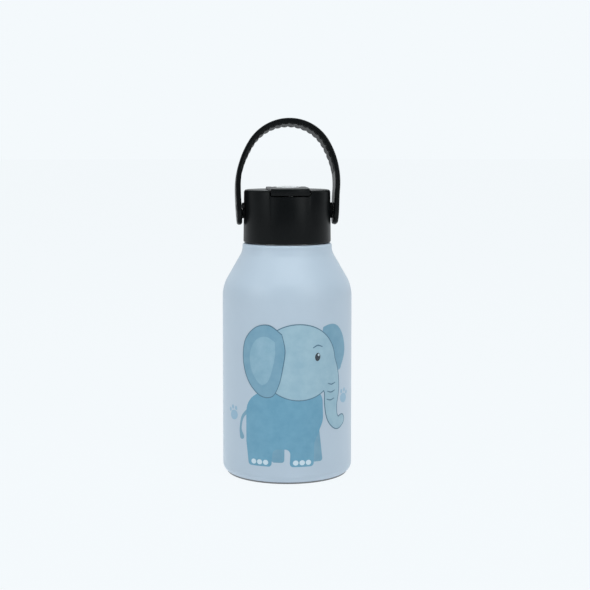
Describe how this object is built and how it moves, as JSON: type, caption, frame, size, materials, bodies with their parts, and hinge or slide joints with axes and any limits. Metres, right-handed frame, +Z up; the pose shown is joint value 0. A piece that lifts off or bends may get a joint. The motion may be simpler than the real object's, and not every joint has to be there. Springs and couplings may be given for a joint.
{
  "type": "kids water bottle",
  "caption": "Insulated steel drinking bottle for children, with a screw lid, a flip cover over a fold-down mouthpiece and straw, and a swinging carry handle.",
  "frame": {"origin": "centre of the foot, on the surface the bottle stands on", "axes": "+Z up the bottle's axis; the drinking side, with the cover's lip, faces -Y; the handle pivots about a line along X"},
  "size_m": [0.073, 0.073, 0.2004],
  "materials": {
    "powder_coat": "fine matt powder coat",
    "bare_steel": "satin, drawn",
    "base_steel": "brushed in rings",
    "getter_metal": "dull",
    "sealing_glass": "glossy bead",
    "silicone": "soft satin",
    "lid_plastic": "fine satin moulding",
    "liner_plastic": "natural, satin",
    "straw_plastic": "milky, smooth",
    "pin_steel": "turned",
    "soft_inlay": "soft satin",
    "soft_grip": "soft matt"
  },
  "bodies": {
    "bottle": {"outer_shell": "powder_coat", "threaded_neck": "bare_steel", "inner_flask": "bare_steel", "inner_base": "bare_steel", "outer_base": "bare_steel", "base_cover": "base_steel", "vacuum_getter": "getter_metal", "seal_bead": "sealing_glass"},
    "seal_ring": {"lid_gasket": "silicone"},
    "lid": {"lid_shell": "lid_plastic", "lid_liner": "liner_plastic", "vent_valve": "silicone", "mouthpiece_root": "silicone", "straw_connector": "silicone", "straw": "straw_plastic", "hinge_pin": "pin_steel", "handle_pin_left": "pin_steel", "handle_pin_right": "pin_steel"},
    "cover": {"flip_cover": "lid_plastic", "cover_inlay": "soft_inlay"},
    "spout": {"mouthpiece": "silicone"},
    "handle": {"handle_band": "lid_plastic", "handle_grip": "soft_grip"}
  },
  "joints": [
    {"name": "lid_rise", "type": "slide", "parent": "bottle", "child": "seal_ring", "axis": [0, 0, 1], "range_m": [0, 0.00601]},
    {"name": "lid_turn", "type": "hinge", "parent": "seal_ring", "child": "lid", "pos_m": [0, 0, 0.1442], "axis": [0, 0, 1], "range_deg": [0, 540]},
    {"name": "cover_flip", "type": "hinge", "parent": "lid", "child": "cover", "pos_m": [0, 0.009, 0.1585], "axis": [-1, 0, 0], "range_deg": [0, 120]},
    {"name": "spout_rise", "type": "hinge", "parent": "lid", "child": "spout", "pos_m": [0, 0, 0.153], "axis": [-1, 0, 0], "range_deg": [0, 78.5]},
    {"name": "handle_swing", "type": "hinge", "parent": "lid", "child": "handle", "pos_m": [0, 0, 0.1482], "axis": [1, 0, 0], "range_deg": [-121, 138]}
  ],
  "couplings": [
    {"joint": "lid_rise", "follows": "lid_turn", "m_per_rad": 0.00063662},
    {"joint": "spout_rise", "follows": "cover_flip", "ratio": 0.65}
  ]
}
